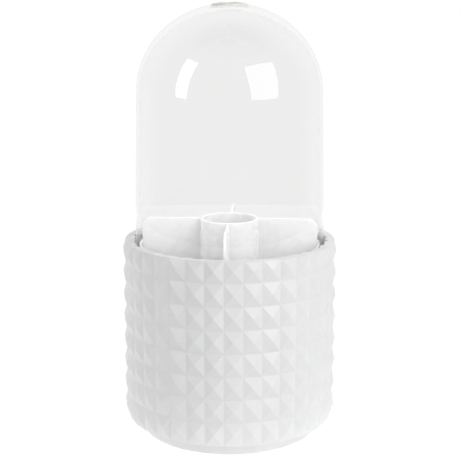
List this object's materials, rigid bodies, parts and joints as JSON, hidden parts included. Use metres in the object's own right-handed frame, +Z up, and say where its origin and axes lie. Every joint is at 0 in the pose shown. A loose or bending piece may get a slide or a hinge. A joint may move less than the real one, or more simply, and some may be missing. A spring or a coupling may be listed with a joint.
{
  "type": "rotating make-up organizer",
  "caption": "Round studded bucket that turns on a ball-bearing base, with a lift-out cup, a divider around a middle ring, and a clear bullet-shaped lid.",
  "frame": {"origin": "on the turning axis, in the plane of the undersides of the four feet", "axes": "+Z up along the turning axis, -Y towards the viewer, so that one fin of the divider points to the viewer"},
  "size_m": [0.14, 0.14, 0.2801],
  "materials": {
    "bucket_white": "semi-gloss moulded white plastic",
    "cup_white": "glossy moulded white plastic",
    "base_white": "satin moulded white plastic",
    "foot_rubber": "matte black rubber",
    "cage_plastic": "natural nylon",
    "bearing_steel": "polished steel",
    "zinc_steel": "bright zinc plate",
    "lid_clear": "clear polished plastic",
    "badge_ivory": "satin ivory plastic"
  },
  "bodies": {
    "base": {"turntable_base": "base_white", "rubber_foot_1": "foot_rubber", "rubber_foot_2": "foot_rubber", "rubber_foot_3": "foot_rubber", "rubber_foot_4": "foot_rubber"},
    "ball_ring": {"ball_cage": "cage_plastic", "bearing_balls": "bearing_steel"},
    "bucket": {"outer_shell": "bucket_white", "turntable_plate": "base_white", "pivot_bolt": "zinc_steel", "pivot_washer": "zinc_steel", "pivot_nut": "zinc_steel", "floor_screws": "zinc_steel"},
    "cup": {"inner_cup": "cup_white", "divider_insert": "cup_white"},
    "lid": {"dome_lid": "lid_clear", "lid_badge": "badge_ivory"}
  },
  "joints": [
    {"name": "turntable_spin", "type": "hinge", "parent": "base", "child": "bucket", "pos_m": [0, 0, 0.0065], "axis": [0, 0, 1], "continuous": true},
    {"name": "ball_ring_spin", "type": "hinge", "parent": "base", "child": "ball_ring", "pos_m": [0, 0, 0.00475], "axis": [0, 0, 1], "continuous": true},
    {"name": "cup_lift", "type": "slide", "parent": "bucket", "child": "cup", "axis": [0, 0, 1], "range_m": [0, 0.12]},
    {"name": "lid_lift", "type": "slide", "parent": "cup", "child": "lid", "axis": [0, 0, 1], "range_m": [0, 0.16]}
  ],
  "couplings": [
    {"joint": "ball_ring_spin", "follows": "turntable_spin", "ratio": 0.5}
  ]
}
